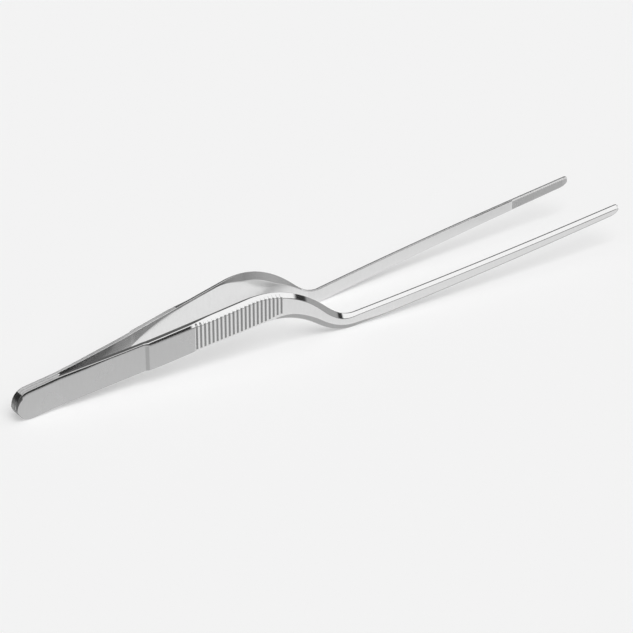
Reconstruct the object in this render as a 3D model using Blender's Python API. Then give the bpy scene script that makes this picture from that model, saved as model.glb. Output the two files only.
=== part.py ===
"""Bayonet tweezers, also sold as long crucible or specimen tongs.

Two sprung steel arms lie side by side and are welded together at the heel. Each arm is one
blank: a heel tab, a thin spring leaf, a thicker grooved grip that rises into a hump, and a
prong that drops away at the bayonet offset and runs on to a serrated tip.

Named sizes are in millimetres. Distances along an arm are measured from the heel end. The
finished model is in metres, with +X towards the tips, +Y towards the far arm and +Z up, and
its origin is the centre of the footprint, on the surface that the tweezers lie on.
"""

import math

import bmesh
import bpy
from mathutils import Matrix

MM = 0.001

# Places along an arm, from the heel end
ARM_LENGTH = 300.7
CROTCH = 21.1
STEP_START = 58.0
STEP_END = 60.4
GRIP_END = 124.7
PAD_START = 268.2
CUT = 0.3  # clearance between sections of one blank, and round the weld

# The top edge of an arm, seen from the side: its slope changes at each bend
HEEL_TOP_Z = 12.32
LEAF_SLOPE = 0.123
GRIP_SLOPE = 0.161
DROP_SLOPE = -1.038
PRONG_SLOPE = 0.0925
STEP_BEND_CENTRE, STEP_BEND_HALF_SPAN = 56.0, 14.0
HUMP_CENTRE, HUMP_HALF_SPAN = 127.8, 21.2
ELBOW_CENTRE, ELBOW_HALF_SPAN = 151.4, 6.9

# The inner face of an arm, seen from above: its distance from the middle plane
CROTCH_HALF_GAP = 0.7
LEAF_SPREAD = 0.0787
GRIP_SPREAD = 0.1123
PRONG_SPREAD = 0.0122
LEAF_CURVE_CENTRE, LEAF_CURVE_HALF_SPAN = 40.7, 12.0
ARM_CURVE_CENTRE, ARM_CURVE_HALF_SPAN = 158.8, 117.3

# Widths between the top and bottom edges
HEEL_WIDTH = 12.9
STEP_WIDTH = 12.4
GRIP_WIDTH = 13.5
ELBOW_WIDTH = 6.95
TIP_WIDTH = 4.5
WIDEST_PLACE = 100.7
NARROWING_START, NARROWING_END = 107.0, 161.0

# Thicknesses, from the inner face to the outer face
TAB_THICKNESS = 1.9
LEAF_THICKNESS = 2.1
GRIP_THICKNESS = 3.0
PRONG_THICKNESS = 2.1
TAB_BLEND = CROTCH - 1.0, CROTCH + 12.0
STEP_BLEND = STEP_START, STEP_END
PRONG_BLEND = GRIP_END - 4.0, 157.7

# Outer edges. Along the top, a flat land runs beside the inner face and a bevel drops from it
# to the outer face. Along the bottom, a bevel runs in under the outer face. Each row is a place
# along the arm, how far the bevel runs in from the outer face there, and its height.
TOP_BEVEL = (
    (28.0, 0.6, 1.3),
    (44.0, 0.33, 0.7),
    (STEP_START, 0.33, 0.7),
    (STEP_END + 1.0, 0.7, 1.5),
    (77.0, 0.75, 1.6),
    (90.0, 1.7, 2.1),
    (120.0, 1.7, 2.1),
    (135.0, 1.48, 2.1),
    (145.0, 1.75, 2.6),
    (150.0, 1.55, 2.4),
    (160.0, 1.1, 1.45),
    (ARM_LENGTH, 1.1, 1.7),
)
BOTTOM_BEVEL = (
    (STEP_START, 0.12, 0.12),
    (85.0, 0.9, 0.6),
    (WIDEST_PLACE + 12.0, 0.9, 0.6),
    (132.7, 1.1, 3.0),
    (ELBOW_CENTRE, 1.1, 3.0),
    (176.4, 0.6, 1.2),
)

# Upright finger grooves across the outer face of each grip
GROOVE_COUNT = 22
GROOVE_START = 81.7
GROOVE_PITCH = 1.886
GROOVE_WIDTH = 0.85
GROOVE_DEPTH = 0.4
CUTTER_DEPTH, CUTTER_HEIGHT = 3.0, 90.0

# Serrations across the inner face of each tip
TOOTH_PITCH = 1.2
TOOTH_DEPTH = 0.25

# Tip rounding, seen from the side
TIP_BOTTOM_LENGTH, TIP_BOTTOM_CUT = 5.0, 2.3
TIP_TOP_LENGTH, TIP_TOP_CUT = 1.4, 0.9

# The weld between the heel tabs, and the bead that closes it at the crotch
WELD_HALF_THICKNESS = 0.4
BEAD_RADIUS = 0.36
BEAD_SIDES = 12
BEAD_PLACE = CROTCH + 0.9

BEAD_PROFILE = ((0.0, 0.5), (0.03, 1.0), (0.97, 1.0), (1.0, 0.5))  # share of height, of radius

# Each arm springs about an upright axis at the root of its leaf
HINGE_PLACE = 22.7

# Spacing of the sections: on straight lengths, on bends, and over the step
STRAIGHT_SPACING, BEND_SPACING, STEP_SPACING = 8.0, 2.5, 0.8
STRAIGHT_LENGTHS = (
    (CROTCH + 14.0, STEP_START - 6.0),
    (ELBOW_CENTRE + 30.0, PAD_START - 10.0),
)
STEP_LENGTH = STEP_START - 2.0, STEP_END + 1.0
HEEL_FIRST_ANGLE, HEEL_RING_COUNT = 12.0, 10
TIP_SHARES = (0.0, 0.35, 0.65, 0.85, 0.97)


def clamp(value, low, high):
    return max(low, min(high, value))


def smooth_step(start, end, x):
    """Zero before start, one after end, with an S-shaped change between them."""
    u = share_of(start, end, x)
    return u * u * (3.0 - 2.0 * u)


def share_of(start, end, x):
    return clamp((x - start) / (end - start), 0.0, 1.0)


def mix(a, b, weight):
    return a + (b - a) * weight


def soft_corner(x, centre, slope_change, half_span):
    """Height gained by a slope change that is spread evenly over centre +- half_span."""
    u = clamp((x - centre) / half_span, -1.0, 1.0)
    return slope_change * (half_span * (u + 1.0) ** 2 / 4.0 + max(x - centre - half_span, 0.0))


def top_edge_z(x):
    step_bend = soft_corner(x, STEP_BEND_CENTRE, GRIP_SLOPE - LEAF_SLOPE, STEP_BEND_HALF_SPAN)
    hump = soft_corner(x, HUMP_CENTRE, DROP_SLOPE - GRIP_SLOPE, HUMP_HALF_SPAN)
    elbow = soft_corner(x, ELBOW_CENTRE, PRONG_SLOPE - DROP_SLOPE, ELBOW_HALF_SPAN)
    return HEEL_TOP_Z + LEAF_SLOPE * x + step_bend + hump + elbow


def top_edge_slope(x):
    step = 0.01
    return (top_edge_z(x + step) - top_edge_z(x - step)) / (2.0 * step)


def inner_face_y(x):
    if x < CROTCH:
        return CROTCH_HALF_GAP
    leaf = soft_corner(x, LEAF_CURVE_CENTRE, GRIP_SPREAD - LEAF_SPREAD, LEAF_CURVE_HALF_SPAN)
    arm = soft_corner(x, ARM_CURVE_CENTRE, PRONG_SPREAD - GRIP_SPREAD, ARM_CURVE_HALF_SPAN)
    return CROTCH_HALF_GAP + LEAF_SPREAD * (x - CROTCH) + leaf + arm


def arm_width(x):
    leaf = mix(HEEL_WIDTH, STEP_WIDTH, share_of(CROTCH, STEP_START, x))
    grip = mix(leaf, GRIP_WIDTH, share_of(STEP_START, WIDEST_PLACE, x))
    prong = mix(ELBOW_WIDTH, TIP_WIDTH, share_of(ELBOW_CENTRE, ARM_LENGTH, x))
    return mix(grip, prong, smooth_step(NARROWING_START, NARROWING_END, x))


def arm_thickness(x):
    leaf = mix(TAB_THICKNESS, LEAF_THICKNESS, smooth_step(*TAB_BLEND, x))
    grip = mix(leaf, GRIP_THICKNESS, smooth_step(*STEP_BLEND, x))
    return mix(grip, PRONG_THICKNESS, smooth_step(*PRONG_BLEND, x))


def round_off(distance, length, depth):
    """How far a rounded end cuts into an edge at a distance before the end."""
    u = clamp(1.0 - distance / length, 0.0, 1.0)
    return depth * (1.0 - math.sqrt(1.0 - u * u))


def edge_heights(x):
    """Top and bottom of the section at x, measured from the top edge line and square to it."""
    radius = HEEL_WIDTH / 2.0
    heel_cut = round_off(x, radius, radius)
    top_cut = heel_cut + round_off(ARM_LENGTH - x, TIP_TOP_LENGTH, TIP_TOP_CUT)
    bottom_cut = heel_cut + round_off(ARM_LENGTH - x, TIP_BOTTOM_LENGTH, TIP_BOTTOM_CUT)
    return -top_cut, bottom_cut - arm_width(x)


def bevel_at(rows, x):
    """Inset and rise of a bevel at x, eased from each row of its table to the next."""
    inset, rise = rows[0][1:]
    for (start, *_), (end, next_inset, next_rise) in zip(rows, rows[1:]):
        weight = smooth_step(start, end, x)
        inset = mix(inset, next_inset, weight)
        rise = mix(rise, next_rise, weight)
    return inset, rise


def section_outline(x, tooth_cut):
    """The six corners of the section at x.

    Each is (share, out, height): share of the thickness plus out is the distance from the
    inner face, and height is measured from the top edge line.
    """
    top, bottom = edge_heights(x)
    top_inset, drop = bevel_at(TOP_BEVEL, x)
    bottom_inset, rise = bevel_at(BOTTOM_BEVEL, x)
    fit = min(1.0, 0.9 * (top - bottom) / (drop + rise))
    return [
        (0.0, tooth_cut, bottom),
        (0.0, tooth_cut, top),
        (1.0, -top_inset, top),
        (1.0, 0.0, top - drop * fit),
        (1.0, 0.0, bottom + rise * fit),
        (1.0, -bottom_inset, bottom),
    ]


def place(x, share, out, height, side):
    """A point of an arm: height above its top edge line at x, out from its inner face."""
    slope = top_edge_slope(x)
    stretch = math.hypot(1.0, slope)
    along = x - slope * height / stretch
    across = inner_face_y(along) + share * arm_thickness(along) + out
    return (along, side * across, top_edge_z(x) + height / stretch)


def spacing_at(x):
    if any(start < x < end for start, end in STRAIGHT_LENGTHS):
        return STRAIGHT_SPACING
    if STEP_LENGTH[0] < x < STEP_LENGTH[1]:
        return STEP_SPACING
    return BEND_SPACING


def arm_stations(start, end):
    """Places of the sections between start and end, closer where the arm bends."""
    stations = [start]
    x = start + spacing_at(start)
    while x < end - 0.5 * spacing_at(x):
        stations.append(x)
        x += spacing_at(x)
    return stations + [end]


def heel_stations():
    """Places along the heel tab: even angles round its end, then the cut."""
    radius = HEEL_WIDTH / 2.0
    last = HEEL_RING_COUNT - 1
    degrees = [mix(HEEL_FIRST_ANGLE, 90.0, i / last) for i in range(HEEL_RING_COUNT)]
    rounded = [radius * (1.0 - math.cos(math.radians(angle))) for angle in degrees]
    return rounded + [CROTCH - CUT / 2.0]


def tip_stations():
    """Places and tooth cuts along the serrated pad, and then round the tip."""
    rows = []
    teeth = int((ARM_LENGTH - TIP_TOP_LENGTH - PAD_START) / TOOTH_PITCH)
    for tooth in range(teeth):
        x = PAD_START + tooth * TOOTH_PITCH
        rows.append((x, 0.0))
        rows.append((x + TOOTH_PITCH / 2.0, TOOTH_DEPTH))
    last = PAD_START + teeth * TOOTH_PITCH
    for share in TIP_SHARES:
        rows.append((mix(last, ARM_LENGTH, share), 0.0))
    return rows


def lowest_point():
    """Lowest height of an arm, which is where it touches the surface it lies on."""
    return min(place(x, 0.0, 0.0, edge_heights(x)[1], 1)[2] for x in range(1, int(ARM_LENGTH)))


def centre_x():
    """Middle of the arm's length, from its rounded heel to its tip."""
    places = heel_stations() + [x for x, tooth_cut in tip_stations()]
    ends = [place(x, 0.0, 0.0, edge_heights(x)[end], 1)[0] for x in places for end in (0, 1)]
    return (min(ends) + max(ends)) / 2.0


FLOOR_Z = lowest_point()
CENTRE_X = centre_x()


def to_model(point):
    """A point in millimetres from the heel end, in metres in the model's frame."""
    x, y, z = point
    return ((x - CENTRE_X) * MM, y * MM, (z - FLOOR_Z) * MM)


def make_material(name, colour, roughness):
    material = bpy.data.materials.new(name)
    material.use_nodes = True
    shader = material.node_tree.nodes["Principled BSDF"]
    shader.inputs["Base Color"].default_value = (*colour, 1.0)
    shader.inputs["Metallic"].default_value = 1.0
    shader.inputs["Roughness"].default_value = roughness
    return material


def make_object(name, bm, material, parent=None):
    """Turn a bmesh in the model's frame into a named object, under parent if there is one."""
    bmesh.ops.recalc_face_normals(bm, faces=bm.faces)
    if parent is not None:
        bmesh.ops.translate(bm, verts=bm.verts, vec=-parent.location)
    mesh = bpy.data.meshes.new(name)
    bm.to_mesh(mesh)
    bm.free()
    mesh.materials.append(material)
    obj = bpy.data.objects.new(name, mesh)
    obj.parent = parent
    bpy.context.scene.collection.objects.link(obj)
    return obj


def loft(rings):
    """A closed bmesh through rings of points that all have the same count."""
    bm = bmesh.new()
    loops = [[bm.verts.new(to_model(point)) for point in ring] for ring in rings]
    count = len(loops[0])
    for first, second in zip(loops, loops[1:]):
        for i in range(count):
            j = (i + 1) % count
            bm.faces.new((first[i], first[j], second[j], second[i]))
    bm.faces.new(loops[0])
    bm.faces.new(loops[-1])
    return bm


def arm_solid(rows, side):
    """A length of arm through rows of (place, tooth cut)."""
    rings = []
    for x, tooth_cut in rows:
        rings.append([place(x, *corner, side) for corner in section_outline(x, tooth_cut)])
    return loft(rings)


def plain_rows(stations):
    return [(x, 0.0) for x in stations]


def groove_cutter(side, parent):
    """All finger-groove cutters of one grip, as a single hidden object of separate blocks."""
    bm = bmesh.new()
    for groove in range(GROOVE_COUNT):
        along = GROOVE_START + groove * GROOVE_PITCH
        face = inner_face_y(along) + arm_thickness(along)
        turn = side * math.atan(GRIP_SPREAD)
        matrix = Matrix.Translation((along, side * (face - GROOVE_DEPTH + CUTTER_DEPTH / 2.0), 0.0))
        matrix = matrix @ Matrix.Rotation(turn, 4, "Z")
        matrix = matrix @ Matrix.Diagonal((GROOVE_WIDTH, CUTTER_DEPTH, CUTTER_HEIGHT, 1.0))
        bmesh.ops.create_cube(bm, size=1.0, matrix=matrix)
    for vert in bm.verts:
        vert.co = to_model(vert.co)
    name = "far_groove_cutter" if side > 0 else "near_groove_cutter"
    cutter = make_object(name, bm, STEEL, parent)
    cutter.hide_render = True
    cutter.display_type = "WIRE"
    return cutter


def cut_with(obj, cutter):
    boolean = obj.modifiers.new("grooves", "BOOLEAN")
    boolean.operation = "DIFFERENCE"
    boolean.solver = "EXACT"
    boolean.object = cutter


def heel_weld():
    """The fused metal between the heel tabs, to the same outline as the tabs."""
    rings = []
    for x in heel_stations():
        top, bottom = edge_heights(x)
        low = place(x, 0.0, 0.0, bottom, 1)
        high = place(x, 0.0, 0.0, top, 1)
        half = WELD_HALF_THICKNESS
        rings.append([
            (low[0], -half, low[2]),
            (high[0], -half, high[2]),
            (high[0], half, high[2]),
            (low[0], half, low[2]),
        ])
    return loft(rings)


def crotch_bead():
    """The bead of weld metal that closes the crotch, upright between the leaves."""
    x = BEAD_PLACE
    bottom = place(x, 0.0, 0.0, edge_heights(x)[1], 1)
    top = place(x, 0.0, 0.0, edge_heights(x)[0], 1)
    rings = []
    for share, scale in BEAD_PROFILE:
        centre_along = mix(bottom[0], top[0], share)
        height = mix(bottom[2], top[2], share)
        ring = []
        for side in range(BEAD_SIDES):
            angle = 2.0 * math.pi * side / BEAD_SIDES
            radius = BEAD_RADIUS * scale
            ring.append((centre_along + radius * math.cos(angle), radius * math.sin(angle), height))
        rings.append(ring)
    return loft(rings)


def make_hinge(name, side):
    """An empty on the upright axis that an arm springs about."""
    hinge = bpy.data.objects.new(name, None)
    middle = place(HINGE_PLACE, 0.5, 0.0, -HEEL_WIDTH / 2.0, side)
    hinge.location = to_model(middle)
    bpy.context.scene.collection.objects.link(hinge)
    return hinge


def make_arm(prefix, side):
    """The four lengths of one arm: heel tab, spring leaf, grip and prong."""
    half_cut = CUT / 2.0
    hinge = make_hinge(prefix + "_hinge", side)
    make_object(prefix + "_heel_tab", arm_solid(plain_rows(heel_stations()), side), SATIN_STEEL)

    leaf_rows = plain_rows(arm_stations(CROTCH + half_cut, STEP_START - half_cut))
    make_object(prefix + "_spring_leaf", arm_solid(leaf_rows, side), SATIN_STEEL, hinge)

    grip_rows = plain_rows(arm_stations(STEP_START + half_cut, GRIP_END - half_cut))
    grip = make_object(prefix + "_grip", arm_solid(grip_rows, side), STEEL, hinge)
    cut_with(grip, groove_cutter(side, hinge))

    prong_rows = plain_rows(arm_stations(GRIP_END + half_cut, PAD_START - 0.5)) + tip_stations()
    make_object(prefix + "_prong", arm_solid(prong_rows, side), STEEL, hinge)


for old in list(bpy.data.objects):
    bpy.data.objects.remove(old, do_unlink=True)

STEEL = make_material("polished_steel", (0.80, 0.80, 0.80), 0.12)
SATIN_STEEL = make_material("satin_steel", (0.72, 0.72, 0.72), 0.28)

make_arm("near", -1)
make_arm("far", 1)
make_object("heel_weld", heel_weld(), STEEL)
make_object("crotch_bead", crotch_bead(), STEEL)

bpy.context.view_layer.update()
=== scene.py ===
"""Looks of the bayonet tweezers: two sprung steel arms, the weld that joins them and its bead.

Named sizes are in millimetres, and distances along an arm are measured from the heel end, as
they are in the CAD model. The finished meshes are in metres, in the CAD model's frame.
"""

import math

import bmesh
import bpy
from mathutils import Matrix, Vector


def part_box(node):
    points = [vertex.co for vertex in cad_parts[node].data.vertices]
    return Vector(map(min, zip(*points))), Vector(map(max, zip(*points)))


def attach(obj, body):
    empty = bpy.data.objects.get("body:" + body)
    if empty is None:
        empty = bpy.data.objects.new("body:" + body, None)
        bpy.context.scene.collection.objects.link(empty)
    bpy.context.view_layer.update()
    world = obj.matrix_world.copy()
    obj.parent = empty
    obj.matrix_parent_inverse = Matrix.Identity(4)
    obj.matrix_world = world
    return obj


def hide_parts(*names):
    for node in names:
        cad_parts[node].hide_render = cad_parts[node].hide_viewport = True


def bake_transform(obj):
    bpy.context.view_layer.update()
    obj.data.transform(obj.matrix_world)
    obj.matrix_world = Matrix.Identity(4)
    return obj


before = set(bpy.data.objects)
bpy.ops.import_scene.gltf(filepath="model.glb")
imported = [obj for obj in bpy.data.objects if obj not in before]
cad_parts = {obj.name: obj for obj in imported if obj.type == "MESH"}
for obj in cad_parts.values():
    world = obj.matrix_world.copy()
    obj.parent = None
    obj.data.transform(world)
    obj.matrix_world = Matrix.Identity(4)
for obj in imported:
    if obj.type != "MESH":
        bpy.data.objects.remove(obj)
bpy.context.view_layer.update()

MM = 0.001

# ---------------------------------------------------------------- shape of an arm
ARM_LENGTH = 300.7
CROTCH = 21.1
STEP_START, STEP_END = 58.0, 60.4
GRIP_END = 124.7
PAD_START = 268.2

HEEL_TOP_Z = 12.32
LEAF_SLOPE, GRIP_SLOPE, DROP_SLOPE, PRONG_SLOPE = 0.123, 0.161, -1.038, 0.0925
STEP_BEND_CENTRE, STEP_BEND_HALF_SPAN = 56.0, 14.0
HUMP_CENTRE, HUMP_HALF_SPAN = 127.8, 21.2
ELBOW_CENTRE, ELBOW_HALF_SPAN = 151.4, 6.9

CROTCH_HALF_GAP = 0.7
LEAF_SPREAD, GRIP_SPREAD, PRONG_SPREAD = 0.0787, 0.1123, 0.0122
LEAF_CURVE_CENTRE, LEAF_CURVE_HALF_SPAN = 40.7, 12.0
ARM_CURVE_CENTRE, ARM_CURVE_HALF_SPAN = 158.8, 117.3

HEEL_WIDTH, STEP_WIDTH, GRIP_WIDTH, ELBOW_WIDTH, TIP_WIDTH = 12.9, 12.4, 13.5, 6.95, 4.5
WIDEST_PLACE = 100.7
NARROWING_START, NARROWING_END = 107.0, 161.0

TAB_THICKNESS, LEAF_THICKNESS, GRIP_THICKNESS, PRONG_THICKNESS = 1.9, 2.1, 3.0, 2.1
TAB_BLEND = CROTCH - 1.0, CROTCH + 12.0
STEP_BLEND = STEP_START, STEP_END
PRONG_BLEND = GRIP_END - 4.0, 157.7

# Outer bevels: place along the arm, how far each runs in from the outer face, and its height
TOP_BEVEL = (
    (28.0, 0.6, 1.3),
    (44.0, 0.33, 0.7),
    (STEP_START, 0.33, 0.7),
    (STEP_END + 1.0, 0.7, 1.5),
    (77.0, 0.75, 1.6),
    (90.0, 1.7, 2.1),
    (120.0, 1.7, 2.1),
    (135.0, 1.48, 2.1),
    (145.0, 1.75, 2.6),
    (150.0, 1.55, 2.4),
    (160.0, 1.1, 1.45),
    (ARM_LENGTH, 1.1, 1.7),
)
BOTTOM_BEVEL = (
    (STEP_START, 0.12, 0.12),
    (85.0, 0.9, 0.6),
    (WIDEST_PLACE + 12.0, 0.9, 0.6),
    (132.7, 1.1, 3.0),
    (ELBOW_CENTRE, 1.1, 3.0),
    (176.4, 0.6, 1.2),
)

# Strip along the top of the inner face, which carries painted shade up to the hump: it covers the
# leaf and thins out along the grip
STRIP_START, STRIP_END, STRIP_POWER = 52.2, 104.2, 4.4
STRIP_REACH, STRIP_HEIGHT, STRIP_INSET = 8.0, 0.7, 0.2
# Over the hump the strip is taller and leans further back: where that grows and dies out
HOLLOW_RISE, HOLLOW_FALL = (102.2, 118.2), (148.0, 134.0)
HOLLOW_HEIGHT, HOLLOW_INSET = 3.4, 1.15
# Parts of the section that are always left: of its height below the strip, and between bevels
LOWEST_SHOULDER, BEVEL_ROOM = 0.08, 0.9

GROOVE_COUNT, GROOVE_START, GROOVE_PITCH = 22, 81.7, 1.886
GROOVE_HALF_WIDTH, GROOVE_DEPTH = 0.5, 0.4
TOOTH_COUNT, TOOTH_PITCH, TOOTH_DEPTH = 25, 1.2, 0.22
PAD_END = PAD_START + TOOTH_COUNT * TOOTH_PITCH
# Clearance between the CAD model's solids
CUT = 0.3

TIP_BOTTOM_LENGTH, TIP_BOTTOM_CUT = 5.0, 2.3
TIP_TOP_LENGTH, TIP_TOP_CUT = 1.4, 0.9

# How far each corner of a section is eased: inner bottom, shoulder of the inner strip, inner
# top, outer edge of the top land, top and bottom of the outer face, edge of the bottom land
CORNER_EASE = (0.16, 0.16, 0.14, 0.22, 0.4, 0.5, 0.3)
# Steps round a corner, its largest share of an edge, and where its support points lie
EASE_STEPS, LARGEST_EASE, SUPPORT_REACH = 5, 0.25, 1.25
CORNER_POINTS = EASE_STEPS + 3

# Search for the place where a corner line of the arm crosses an upright plane
SEARCH_REACH, SEARCH_STEPS = 16.0, 26

# Ends of the mesh: first and last ring, the turn of the heel, and how the last edge turns over
HEEL_END, TIP_END = 0.83, ARM_LENGTH
HEEL_FIRST_ANGLE, HEEL_ANGLE_STEP = math.radians(7.0), math.radians(4.0)
END_ROUNDING = ((0.8, 0.03), (0.4, 0.05))

# Rings along an arm: spacing of each length, and rings for each groove and tooth
HEEL_SPACING, LEAF_SPACING, STEP_SPACING, GRIP_SPACING = 1.0, 1.5, 0.15, 0.75
BEND_SPACING, PRONG_SPACING, TIP_SPACING, LAST_SPACING = 0.6, 2.0, 0.25, 0.08
GROOVE_RINGS, TOOTH_RINGS = 16, 8
BEND_END, TIP_START = ELBOW_CENTRE + 10.0, ARM_LENGTH - 1.0

SHARP_ANGLE = math.radians(32.0)

# ---------------------------------------------------------------- weld
WELD_HALF_WIDTH, WELD_CROWN, WELD_SPACING = 0.69, 0.12, 0.5
# Places across the weld's crowned edge, and how much of the crown is lost at its sides
WELD_PROFILE, CROWN_FALL = (1.0, 0.75, 0.4, 0.0, -0.4, -0.75, -1.0), 0.9
BEAD_PLACE, BEAD_RADIUS, BEAD_SIDES = CROTCH + 0.5, 0.66, 20
# The bead from end to end: share of its height, and share of its radius
BEAD_PROFILE = ((0.0, 0.4), (0.015, 0.8), (0.04, 1.0), (0.96, 1.0), (0.985, 0.8), (1.0, 0.4))

# ---------------------------------------------------------------- camera and light
# Angles are in radians here, and distances and the floor's size in metres
CAMERA_AZIMUTH, CAMERA_ELEVATION = 0.606, 0.5029
CAMERA_DISTANCE, CAMERA_AIM = 1.0756, (-0.0026, 0.00046, 0.00155)
FIELD_OF_VIEW = 2.0 * math.atan(0.1266)

FLOOR_SHADE, FLOOR_GLOW, FLOOR_ROUGHNESS = 0.62, 0.33, 0.9
FLOOR_HALF_SIZE = 4.0
BACKDROP_SHADE = 0.905
KEY_STRENGTH, KEY_ANGLE, KEY_DIRECTION = 1.8, math.radians(45.0), (0.1, 0.6, -1.0)
# Share of the studio's light that reaches matt surfaces
FILL_SHARE = 0.55
# Radiance of the tent, of the low grey wall on the near side, of the gap between that wall and
# the tent, and of the room on the far side
TENT_LIGHT, WALL_LIGHT, GAP_LIGHT, BACK_LIGHT = 1.2, 0.45, 0.04, 0.14
# Height of a direction (its sine) where the edges of the gap and of the tent's roof are soft
GAP_BOTTOM, GAP_TOP, ROOF_EDGE = (0.20, 0.24), (0.33, 0.38), (0.78, 0.97)
# The same for the change from the near side to the far side, along y
BACK_EDGE = (-0.15, 0.25)


def clamp(value, low, high):
    return max(low, min(high, value))


def share_of(start, end, x):
    return clamp((x - start) / (end - start), 0.0, 1.0)


def mix(a, b, weight):
    return a + (b - a) * weight


def smooth_step(start, end, x):
    u = share_of(start, end, x)
    return u * u * (3.0 - 2.0 * u)


def soft_corner(x, centre, slope_change, half_span):
    """Height gained by a slope change that is spread evenly over centre +- half_span."""
    u = clamp((x - centre) / half_span, -1.0, 1.0)
    return slope_change * (half_span * (u + 1.0) ** 2 / 4.0 + max(x - centre - half_span, 0.0))


def soft_slope(x, centre, slope_change, half_span):
    return slope_change * (clamp((x - centre) / half_span, -1.0, 1.0) + 1.0) / 2.0


TOP_BENDS = (
    (STEP_BEND_CENTRE, GRIP_SLOPE - LEAF_SLOPE, STEP_BEND_HALF_SPAN),
    (HUMP_CENTRE, DROP_SLOPE - GRIP_SLOPE, HUMP_HALF_SPAN),
    (ELBOW_CENTRE, PRONG_SLOPE - DROP_SLOPE, ELBOW_HALF_SPAN),
)


def top_edge_z(x):
    return HEEL_TOP_Z + LEAF_SLOPE * x + sum(soft_corner(x, *bend) for bend in TOP_BENDS)


def top_edge_slope(x):
    return LEAF_SLOPE + sum(soft_slope(x, *bend) for bend in TOP_BENDS)


def inner_face_y(x):
    if x < CROTCH:
        return CROTCH_HALF_GAP
    leaf = soft_corner(x, LEAF_CURVE_CENTRE, GRIP_SPREAD - LEAF_SPREAD, LEAF_CURVE_HALF_SPAN)
    arm = soft_corner(x, ARM_CURVE_CENTRE, PRONG_SPREAD - GRIP_SPREAD, ARM_CURVE_HALF_SPAN)
    return CROTCH_HALF_GAP + LEAF_SPREAD * (x - CROTCH) + leaf + arm


def arm_width(x):
    leaf = mix(HEEL_WIDTH, STEP_WIDTH, share_of(CROTCH, STEP_START, x))
    grip = mix(leaf, GRIP_WIDTH, share_of(STEP_START, WIDEST_PLACE, x))
    prong = mix(ELBOW_WIDTH, TIP_WIDTH, share_of(ELBOW_CENTRE, ARM_LENGTH, x))
    return mix(grip, prong, smooth_step(NARROWING_START, NARROWING_END, x))


def arm_thickness(x):
    leaf = mix(TAB_THICKNESS, LEAF_THICKNESS, smooth_step(*TAB_BLEND, x))
    grip = mix(leaf, GRIP_THICKNESS, smooth_step(*STEP_BLEND, x))
    return mix(grip, PRONG_THICKNESS, smooth_step(*PRONG_BLEND, x))


def round_off(distance, length, depth):
    """How far a rounded end cuts into an edge at a distance before the end."""
    u = clamp(1.0 - distance / length, 0.0, 1.0)
    return depth * (1.0 - math.sqrt(1.0 - u * u))


def edge_heights(x):
    """Top and bottom of the section at x, measured from the top edge line and square to it."""
    radius = HEEL_WIDTH / 2.0
    heel_cut = round_off(x, radius, radius)
    top_cut = heel_cut + round_off(ARM_LENGTH - x, TIP_TOP_LENGTH, TIP_TOP_CUT)
    bottom_cut = heel_cut + round_off(ARM_LENGTH - x, TIP_BOTTOM_LENGTH, TIP_BOTTOM_CUT)
    return -top_cut, bottom_cut - arm_width(x)


def bevel_at(rows, x):
    """Inset and rise of a bevel at x, eased from each row of its table to the next."""
    inset, rise = rows[0][1:]
    for (start, *_), (end, next_inset, next_rise) in zip(rows, rows[1:]):
        weight = smooth_step(start, end, x)
        inset = mix(inset, next_inset, weight)
        rise = mix(rise, next_rise, weight)
    return inset, rise


def inner_strip(x):
    """Height of the strip along the top of the inner face, and how far its top is set back."""
    leaf = STRIP_REACH * (1.0 - share_of(STRIP_START, STRIP_END, x)) ** STRIP_POWER
    hollow = smooth_step(*HOLLOW_RISE, x) * smooth_step(*HOLLOW_FALL, x)
    on_grip = smooth_step(*STEP_BLEND, x)
    height = mix(STRIP_HEIGHT + leaf, HOLLOW_HEIGHT, hollow)
    return height, on_grip * mix(STRIP_INSET, HOLLOW_INSET, hollow)


def section_corners(x):
    """The seven corners of the section at x, as (share of the thickness, out, height)."""
    top, bottom = edge_heights(x)
    strip_height, strip_inset = inner_strip(x)
    shoulder = max(top - strip_height, mix(bottom, top, LOWEST_SHOULDER))
    top_inset, drop = bevel_at(TOP_BEVEL, x)
    bottom_inset, rise = bevel_at(BOTTOM_BEVEL, x)
    fit = min(1.0, BEVEL_ROOM * (top - bottom) / (drop + rise))
    return (
        (0.0, 0.0, bottom),
        (0.0, 0.0, shoulder),
        (0.0, strip_inset, top),
        (1.0, -top_inset, top),
        (1.0, 0.0, top - drop * fit),
        (1.0, 0.0, bottom + rise * fit),
        (1.0, -bottom_inset, bottom),
    )


def corner_at(along, corner):
    """Across and height of one section corner where it crosses the upright plane at along."""
    low = max(0.0, along - SEARCH_REACH)
    high = min(ARM_LENGTH, along + SEARCH_REACH)
    for _ in range(SEARCH_STEPS):
        x = (low + high) / 2.0
        slope = top_edge_slope(x)
        height = section_corners(x)[corner][2]
        if x - slope * height / math.hypot(1.0, slope) < along:
            low = x
        else:
            high = x
    share, out, _ = section_corners(x)[corner]
    across = inner_face_y(along) + share * arm_thickness(along) + out
    return Vector((across, top_edge_z(x) + height / math.hypot(1.0, slope)))


def eased_outline(corners):
    """The outline with each corner turned into a short curve between two support points."""
    outline = []
    for i, corner in enumerate(corners):
        before = corners[i - 1] - corner
        after = corners[(i + 1) % len(corners)] - corner
        reach = min(CORNER_EASE[i], LARGEST_EASE * min(before.length, after.length))
        before = before.normalized() * reach
        after = after.normalized() * reach
        outline.append(corner + before * SUPPORT_REACH)
        for step in range(EASE_STEPS + 1):
            t = step / EASE_STEPS
            outline.append(corner + before * (1.0 - t) ** 2 + after * t * t)
        outline.append(corner + after * SUPPORT_REACH)
    return outline


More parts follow.
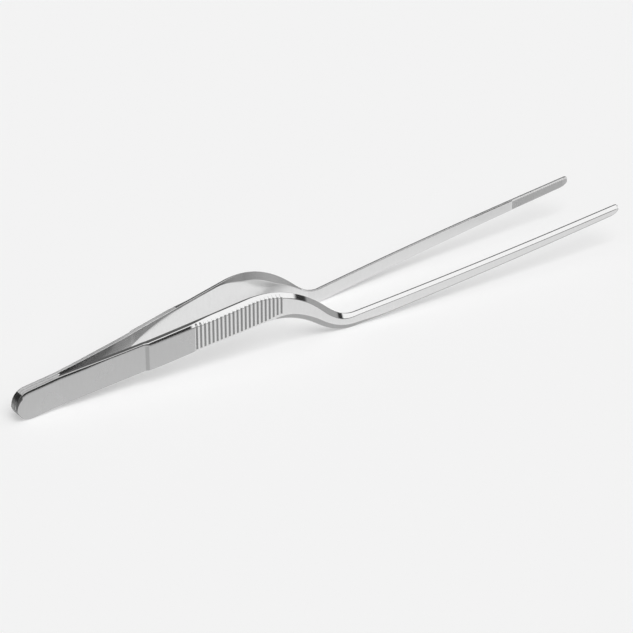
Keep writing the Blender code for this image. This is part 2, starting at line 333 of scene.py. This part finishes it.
def groove_depth(along):
    """Depth of the finger grooves, which are round-bottomed, at a place along the arm."""
    nearest = clamp(round((along - GROOVE_START) / GROOVE_PITCH), 0, GROOVE_COUNT - 1)
    offset = abs(along - GROOVE_START - nearest * GROOVE_PITCH) / GROOVE_HALF_WIDTH
    return GROOVE_DEPTH * math.sqrt(max(0.0, 1.0 - offset ** 4))


def tooth_depth(along):
    """Depth of the serrations across the inner face of the tip."""
    if not PAD_START < along < PAD_END:
        return 0.0
    phase = ((along - PAD_START) / TOOTH_PITCH) % 1.0
    return TOOTH_DEPTH * (1.0 - abs(2.0 * phase - 1.0))


def arm_ring(along, side):
    """The eased section of an arm in the upright plane at along, with its cuts."""
    inner = inner_face_y(along)
    deepest = inner + arm_thickness(along) - groove_depth(along)
    shallowest = inner + tooth_depth(along)
    ring = []
    for point in eased_outline([corner_at(along, corner) for corner in range(len(CORNER_EASE))]):
        across = clamp(point.x, shallowest, deepest)
        ring.append(Vector((along, side * across, point.y)))
    return ring


def spaced(start, end, spacing):
    """Even places from start up to, but not at, end, no further apart than spacing."""
    count = math.ceil((end - start) / spacing)
    return [start + (end - start) * i / count for i in range(count)]


def heel_stations():
    """Places of the rings round the turn of the heel."""
    angles = spaced(HEEL_FIRST_ANGLE, math.pi / 2.0, HEEL_ANGLE_STEP)
    return [HEEL_END + HEEL_WIDTH / 2.0 * (1.0 - math.cos(angle)) for angle in angles]


def arm_stations():
    """Places of the rings along an arm, close together where its shape changes."""
    groove_first = GROOVE_START - GROOVE_PITCH / 2.0
    groove_last = groove_first + GROOVE_COUNT * GROOVE_PITCH
    lengths = (
        (HEEL_END + HEEL_WIDTH / 2.0, HEEL_SPACING),
        (CROTCH, LEAF_SPACING),
        (STEP_START - 1.0, STEP_SPACING),
        (STEP_END + 1.0, GRIP_SPACING),
        (groove_first, GROOVE_PITCH / GROOVE_RINGS),
        (groove_last, BEND_SPACING),
        (BEND_END, PRONG_SPACING),
        (PAD_START, TOOTH_PITCH / TOOTH_RINGS),
        (PAD_END, TIP_SPACING),
        (TIP_START, LAST_SPACING),
    )
    ends = [start for start, _ in lengths[1:]] + [TIP_END]
    stations = heel_stations()
    for (start, spacing), end in zip(lengths, ends):
        stations += spaced(start, end, spacing)
    return stations + [TIP_END]


def closing_rings(ring, outward):
    """Smaller copies of an end ring that turn the end of an arm over into a soft edge."""
    centre = sum(ring, Vector()) / len(ring)
    rings = []
    for scale, step in END_ROUNDING:
        moved = [centre + (point - centre) * scale for point in ring]
        rings.append([point + Vector((outward * step, 0.0, 0.0)) for point in moved])
    return rings


# Where the heel end and the zero of the heights lie in the CAD model's frame, in metres
LEAF_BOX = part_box("near_spring_leaf")
HEEL_X = LEAF_BOX[0][0] - (CROTCH + CUT / 2.0) * MM
BASE_Z = LEAF_BOX[1][2] - top_edge_z(STEP_START - CUT / 2.0) * MM


def to_frame(point):
    """A point in millimetres from the heel end, in metres in the CAD model's frame."""
    return Vector((HEEL_X + point[0] * MM, point[1] * MM, BASE_Z + point[2] * MM))


def loft(name, rings, face_material=None):
    """A closed mesh object through rings of points that all have the same count."""
    bm = bmesh.new()
    loops = [[bm.verts.new(to_frame(point)) for point in ring] for ring in rings]
    count = len(loops[0])
    for row, (first, second) in enumerate(zip(loops, loops[1:])):
        for i in range(count):
            j = (i + 1) % count
            face = bm.faces.new((first[i], first[j], second[j], second[i]))
            if face_material:
                face.material_index = face_material(i, rings[row][0].x)
    for ring, loop in ((rings[0], loops[0]), (rings[-1], loops[-1])):
        cap = bm.faces.new(loop)
        if face_material:
            cap.material_index = face_material(0, ring[0].x)
    bmesh.ops.recalc_face_normals(bm, faces=bm.faces)
    for face in bm.faces:
        face.smooth = True
    for edge in bm.edges:
        edge.smooth = edge.calc_face_angle(0.0) < SHARP_ANGLE
    mesh = bpy.data.meshes.new(name)
    bm.to_mesh(mesh)
    bm.free()
    obj = bpy.data.objects.new(name, mesh)
    bpy.context.scene.collection.objects.link(obj)
    return obj


# ---------------------------------------------------------------- materials
# Detail of the two noises, patches of wear for each metre, and the part of that noise used
GRAIN_DETAIL, WEAR_DETAIL = 3.0, 2.0
WEAR_SCALE, WEAR_START, WEAR_END = 60.0, 0.3, 0.7
# How far shade and roughness stray from their set values
SHADE_CHANGE, ROUGHNESS_CHANGE = 0.04, 0.15


def new_material(name):
    material = bpy.data.materials.new(name)
    material.use_nodes = True
    material.node_tree.nodes.clear()
    return material, material.node_tree.nodes, material.node_tree.links


def steel(name, shade, roughness, grain_size, grain_depth):
    """Bare grey steel with a fine grain and faint patches where it is worn smoother.

    grain_size is the fineness of the grain along x, y and z: where z is much lower, the grain
    is drawn out into grinding lines that run across the arm.
    """
    material, nodes, links = new_material(name)
    output = nodes.new("ShaderNodeOutputMaterial")
    shader = nodes.new("ShaderNodeBsdfPrincipled")
    links.new(shader.outputs["BSDF"], output.inputs["Surface"])
    shader.inputs["Metallic"].default_value = 1.0

    place = nodes.new("ShaderNodeTexCoord")
    stretch = nodes.new("ShaderNodeMapping")
    stretch.inputs["Scale"].default_value = grain_size
    links.new(place.outputs["Object"], stretch.inputs["Vector"])

    grain = nodes.new("ShaderNodeTexNoise")
    grain.inputs["Scale"].default_value = 1.0
    grain.inputs["Detail"].default_value = GRAIN_DETAIL
    links.new(stretch.outputs["Vector"], grain.inputs["Vector"])

    wear = nodes.new("ShaderNodeTexNoise")
    wear.inputs["Scale"].default_value = WEAR_SCALE
    wear.inputs["Detail"].default_value = WEAR_DETAIL
    links.new(place.outputs["Object"], wear.inputs["Vector"])

    streaks = nodes.new("ShaderNodeMapRange")
    streaks.inputs["To Min"].default_value = 1.0 - SHADE_CHANGE
    streaks.inputs["To Max"].default_value = 1.0 + SHADE_CHANGE
    links.new(grain.outputs["Fac"], streaks.inputs["Value"])
    tint = nodes.new("ShaderNodeMix")
    tint.data_type = "RGBA"
    tint.blend_type = "MULTIPLY"
    tint.inputs["Factor"].default_value = 1.0
    tint.inputs["A"].default_value = (shade, shade, shade, 1.0)
    links.new(streaks.outputs["Result"], tint.inputs["B"])
    links.new(tint.outputs["Result"], shader.inputs["Base Color"])

    rough = nodes.new("ShaderNodeMapRange")
    rough.inputs["From Min"].default_value = WEAR_START
    rough.inputs["From Max"].default_value = WEAR_END
    rough.inputs["To Min"].default_value = roughness * (1.0 - ROUGHNESS_CHANGE)
    rough.inputs["To Max"].default_value = roughness * (1.0 + ROUGHNESS_CHANGE)
    links.new(wear.outputs["Fac"], rough.inputs["Value"])
    links.new(rough.outputs["Result"], shader.inputs["Roughness"])

    bump = nodes.new("ShaderNodeBump")
    bump.inputs["Strength"].default_value = 1.0
    bump.inputs["Distance"].default_value = grain_depth
    links.new(grain.outputs["Fac"], bump.inputs["Height"])
    links.new(bump.outputs["Normal"], shader.inputs["Normal"])
    return material


# Fineness of the grain along each axis, and its depth in metres
EVEN_GRAIN, PAD_GRAIN, WELD_GRAIN = (1500.0,) * 3, (2500.0,) * 3, (600.0,) * 3
DRAWN_GRAIN, POLISH_GRAIN = (2500.0, 2500.0, 150.0), (900.0, 900.0, 300.0)
POLISH_DEPTH, DRAWN_DEPTH, EVEN_DEPTH, WELD_DEPTH = 5e-7, 2e-6, 3e-6, 2e-5

# Painted shade: a near-black copy of the steel round the heel's end
SHADED_RIM = steel("shaded_rim_steel", 0.14, 0.25, EVEN_GRAIN, EVEN_DEPTH)
WELD = steel("weld_steel", 0.90, 0.55, WELD_GRAIN, WELD_DEPTH)
# Real finishes of the steel, and copies of it that are painted shade and a painted highlight
FINISHES_AND_PAINTED_LIGHT = {
    "polished": steel("polished_steel", 0.74, 0.08, POLISH_GRAIN, POLISH_DEPTH),
    "satin": steel("satin_steel", 0.52, 0.30, DRAWN_GRAIN, DRAWN_DEPTH),
    # Painted shade: a darker copy of the steel on the strip at the top of the inner face
    "inner": steel("inner_shade_steel", 0.43, 0.22, DRAWN_GRAIN, DRAWN_DEPTH),
    "pad": steel("pad_steel", 0.48, 0.34, PAD_GRAIN, EVEN_DEPTH),
    "mirror": steel("mirror_steel", 0.80, 0.12, POLISH_GRAIN, POLISH_DEPTH),
    # Painted shade round the heel's end
    "rim_shade": SHADED_RIM,
    # Painted shade on the step's ramp and on the bottom bevel of the bend
    "painted_shade": steel("painted_shade_steel", 0.40, 0.30, EVEN_GRAIN, EVEN_DEPTH),
    # Painted shade inside the finger grooves
    "groove_shade": steel("groove_shade_steel", 0.27, 0.30, EVEN_GRAIN, EVEN_DEPTH),
    # Painted highlight: a pale copy of the steel on the top land
    "top_highlight": steel("top_highlight_steel", 0.90, 0.60, EVEN_GRAIN, EVEN_DEPTH),
}
# Where finishes, painted shade and painted highlight change along an arm: painted shade round the
# heel's end, and a painted highlight on the top land that runs further along the far arm, side 1
RIM_SHADE_END = 3.2
SATIN_END = GROOVE_START - 1.2
# Painted shade: a dark line across the outer face on the step's ramp
RAMP_START, RAMP_END = STEP_START + 0.6, STEP_END - 0.6
# Painted shade on the bottom bevel from here to the tip
SHADED_BEVEL_START = 119.0
TOP_HIGHLIGHT_END = {-1: CROTCH, 1: GROOVE_START}
# Depth from which the inside of a finger groove carries painted shade
GROOVE_SHADE_DEPTH = 0.5 * GROOVE_DEPTH
# Strips of an arm's skin, by the corner of the section where each begins
INNER_FACE, INNER_STRIP, TOP_LAND, TOP_STRIP, OUTER_FACE, BOTTOM_STRIP = range(6)


def finish_or_painted_light(i, along, side):
    """Name of the finish on one face of an arm, which on some faces is painted shade or a painted
    highlight: i counts the points of its outline.

    The face after a corner's last point is flat; the others are the eased corner itself.
    """
    corner, step = divmod(i, CORNER_POINTS)
    flat = corner if step == CORNER_POINTS - 1 else None
    middle = along + GROOVE_PITCH / GROOVE_RINGS / 2.0
    # Painted shade across the step's ramp
    if flat == OUTER_FACE and RAMP_START < along < RAMP_END:
        return "painted_shade"
    # Painted shade round the heel's end
    if along < RIM_SHADE_END and flat not in (OUTER_FACE, INNER_FACE, INNER_STRIP):
        return "rim_shade"
    if corner in (OUTER_FACE, BOTTOM_STRIP) and along < SATIN_END:
        return "satin"
    if corner == TOP_STRIP and flat is None and along < STEP_START:
        return "satin"
    # Painted shade inside the finger grooves
    if corner == OUTER_FACE and groove_depth(middle) > GROOVE_SHADE_DEPTH:
        return "groove_shade"
    # Painted shade on the bottom bevel
    if flat == BOTTOM_STRIP and along > SHADED_BEVEL_START:
        return "painted_shade"
    if flat == INNER_FACE:
        if along > PAD_START:
            return "pad"
        return "mirror" if along < ELBOW_CENTRE else "polished"
    # Painted shade on the strip at the top of the inner face, up to the hump
    if flat == INNER_STRIP and along < HOLLOW_FALL[0]:
        return "inner"
    # Painted highlight on the top land
    if corner == TOP_LAND and along < TOP_HIGHLIGHT_END[side]:
        return "top_highlight"
    return "polished"


def make_arm(prefix, side):
    """One whole arm, from rounded heel to serrated tip: side is -1 for near and 1 for far."""
    rings = [arm_ring(along, side) for along in arm_stations()]
    rings = closing_rings(rings[0], -1.0)[::-1] + rings + closing_rings(rings[-1], 1.0)
    names = list(FINISHES_AND_PAINTED_LIGHT)

    def finish_or_painted_light_slot(i, along):
        return names.index(finish_or_painted_light(i, along, side))

    arm = loft(prefix + "_tweezer_arm", rings, finish_or_painted_light_slot)
    for material in FINISHES_AND_PAINTED_LIGHT.values():
        arm.data.materials.append(material)
    parts = ("heel_tab", "spring_leaf", "grip", "prong")
    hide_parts(*[prefix + "_" + part for part in parts])
    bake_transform(arm)


def weld_ring(along):
    """The section of the heel weld at along: upright sides, and a crown at top and bottom."""
    ring = []
    for edge, turn in ((corner_at(along, 2).y, 1.0), (corner_at(along, 0).y, -1.0)):
        for across in WELD_PROFILE:
            crown = WELD_CROWN * math.sqrt(1.0 - CROWN_FALL * across * across)
            height = edge + turn * (crown - WELD_CROWN)
            ring.append(Vector((along, turn * across * WELD_HALF_WIDTH, height)))
    return ring


def heel_weld():
    """The weld metal between the heel tabs: a thin crowned plate, with painted shade round the
    heel's end.
    """
    straight = HEEL_END + HEEL_WIDTH / 2.0
    stations = heel_stations() + [straight]
    stations += spaced(straight + WELD_SPACING, CROTCH, WELD_SPACING) + [CROTCH]
    rings = [weld_ring(along) for along in stations]
    # The second material is the painted shade round the heel's end
    weld = loft("heel_weld_metal", rings, lambda i, along: int(along < RIM_SHADE_END))
    weld.data.materials.append(WELD)
    weld.data.materials.append(SHADED_RIM)
    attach(weld, "heel")
    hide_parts("heel_weld")


def crotch_bead():
    """The bead of weld metal that closes the crotch, upright between the leaves."""
    bottom = corner_at(BEAD_PLACE, 0).y
    top = corner_at(BEAD_PLACE, 2).y
    turns = [2.0 * math.pi * i / BEAD_SIDES for i in range(BEAD_SIDES)]
    rings = []
    for share, scale in BEAD_PROFILE:
        height = mix(bottom, top, share)
        radius = BEAD_RADIUS * scale
        ring = []
        for turn in turns:
            along = BEAD_PLACE + radius * math.cos(turn)
            ring.append(Vector((along, radius * math.sin(turn), height)))
        rings.append(ring)
    bead = loft("crotch_weld_bead", rings)
    bead.data.materials.append(WELD)
    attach(bead, "heel")
    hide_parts("crotch_bead")


# ---------------------------------------------------------------- stage, light and camera
def make_floor():
    """A pale matt floor with a faint glow of its own, which keeps the shadows light."""
    material, nodes, links = new_material("pale_floor")
    output = nodes.new("ShaderNodeOutputMaterial")
    shader = nodes.new("ShaderNodeBsdfPrincipled")
    shader.inputs["Base Color"].default_value = (FLOOR_SHADE, FLOOR_SHADE, FLOOR_SHADE, 1.0)
    shader.inputs["Emission Color"].default_value = (1.0, 1.0, 1.0, 1.0)
    shader.inputs["Emission Strength"].default_value = FLOOR_GLOW
    shader.inputs["Roughness"].default_value = FLOOR_ROUGHNESS
    shader.inputs["Specular IOR Level"].default_value = 0.0
    links.new(shader.outputs["BSDF"], output.inputs["Surface"])
    bm = bmesh.new()
    bmesh.ops.create_grid(bm, x_segments=1, y_segments=1, size=FLOOR_HALF_SIZE)
    mesh = bpy.data.meshes.new("floor")
    bm.to_mesh(mesh)
    bm.free()
    mesh.materials.append(material)
    floor = bpy.data.objects.new("floor", mesh)
    bpy.context.scene.collection.objects.link(floor)


def math_node(nodes, links, operation, *values):
    """A math node fed by numbers or by other nodes' outputs; gives its output socket."""
    node = nodes.new("ShaderNodeMath")
    node.operation = operation
    for socket, value in zip(node.inputs, values):
        if isinstance(value, (int, float)):
            socket.default_value = value
        else:
            links.new(value, socket)
    return node.outputs[0]


def ramp_node(nodes, links, value, low, high):
    """Zero below low, one above high, and a smooth change between them."""
    node = nodes.new("ShaderNodeMapRange")
    node.interpolation_type = "SMOOTHSTEP"
    links.new(value, node.inputs["Value"])
    node.inputs["From Min"].default_value = low
    node.inputs["From Max"].default_value = high
    return node.outputs["Result"]


def make_world():
    """A bright soft tent: dark gap above a grey wall on the near side, dark room on the far side.

    The camera sees an even pale backdrop instead.
    """
    world = bpy.data.worlds.new("studio")
    bpy.context.scene.world = world
    world.use_nodes = True
    nodes, links = world.node_tree.nodes, world.node_tree.links
    nodes.clear()
    output = nodes.new("ShaderNodeOutputWorld")
    background = nodes.new("ShaderNodeBackground")
    background.inputs["Color"].default_value = (1.0, 1.0, 1.0, 1.0)
    links.new(background.outputs["Background"], output.inputs["Surface"])

    place = nodes.new("ShaderNodeTexCoord")
    split = nodes.new("ShaderNodeSeparateXYZ")
    links.new(place.outputs["Generated"], split.inputs["Vector"])
    _, y, z = split.outputs

    above_gap = ramp_node(nodes, links, z, *GAP_TOP)
    below_gap = math_node(nodes, links, "SUBTRACT", 1.0, ramp_node(nodes, links, z, *GAP_BOTTOM))
    roof = ramp_node(nodes, links, z, *ROOF_EDGE)
    far_side = ramp_node(nodes, links, y, *BACK_EDGE)

    tent_light = math_node(nodes, links, "MULTIPLY", above_gap, TENT_LIGHT)
    wall_light = math_node(nodes, links, "MULTIPLY", below_gap, WALL_LIGHT)
    near = math_node(nodes, links, "ADD", tent_light, wall_light)
    near = math_node(nodes, links, "MAXIMUM", near, GAP_LIGHT)
    roof_light = math_node(nodes, links, "MULTIPLY", roof, TENT_LIGHT - BACK_LIGHT)
    far = math_node(nodes, links, "ADD", roof_light, BACK_LIGHT)
    change = math_node(nodes, links, "SUBTRACT", far, near)
    change = math_node(nodes, links, "MULTIPLY", change, far_side)
    light = math_node(nodes, links, "ADD", near, change)

    rays = nodes.new("ShaderNodeLightPath")
    dimmed = math_node(nodes, links, "MULTIPLY", rays.outputs["Is Diffuse Ray"], FILL_SHARE - 1.0)
    dimmed = math_node(nodes, links, "ADD", dimmed, 1.0)
    light = math_node(nodes, links, "MULTIPLY", light, dimmed)
    backdrop = math_node(nodes, links, "SUBTRACT", BACKDROP_SHADE, light)
    backdrop = math_node(nodes, links, "MULTIPLY", backdrop, rays.outputs["Is Camera Ray"])
    strength = math_node(nodes, links, "ADD", light, backdrop)
    links.new(strength, background.inputs["Strength"])


def make_key_light():
    """A broad soft light on the floor, hidden from the mirror-like steel."""
    light = bpy.data.lights.new("key", "SUN")
    light.energy = KEY_STRENGTH
    light.angle = KEY_ANGLE
    key = bpy.data.objects.new("key", light)
    key.rotation_euler = Vector(KEY_DIRECTION).to_track_quat("-Z", "Y").to_euler()
    key.visible_glossy = False
    bpy.context.scene.collection.objects.link(key)


def make_camera():
    camera = bpy.data.objects.new("camera", bpy.data.cameras.new("camera"))
    camera.data.angle = FIELD_OF_VIEW
    level = math.cos(CAMERA_ELEVATION)
    forward = Vector((
        math.sin(CAMERA_AZIMUTH) * level,
        math.cos(CAMERA_AZIMUTH) * level,
        -math.sin(CAMERA_ELEVATION),
    ))
    camera.location = Vector(CAMERA_AIM) - forward * CAMERA_DISTANCE
    camera.rotation_euler = forward.to_track_quat("-Z", "Y").to_euler()
    bpy.context.scene.collection.objects.link(camera)
    bpy.context.scene.camera = camera


make_camera()
make_world()
make_key_light()
make_floor()
make_arm("near", -1)
make_arm("far", 1)
heel_weld()
crotch_bead()
bpy.context.scene.view_settings.view_transform = "Standard"
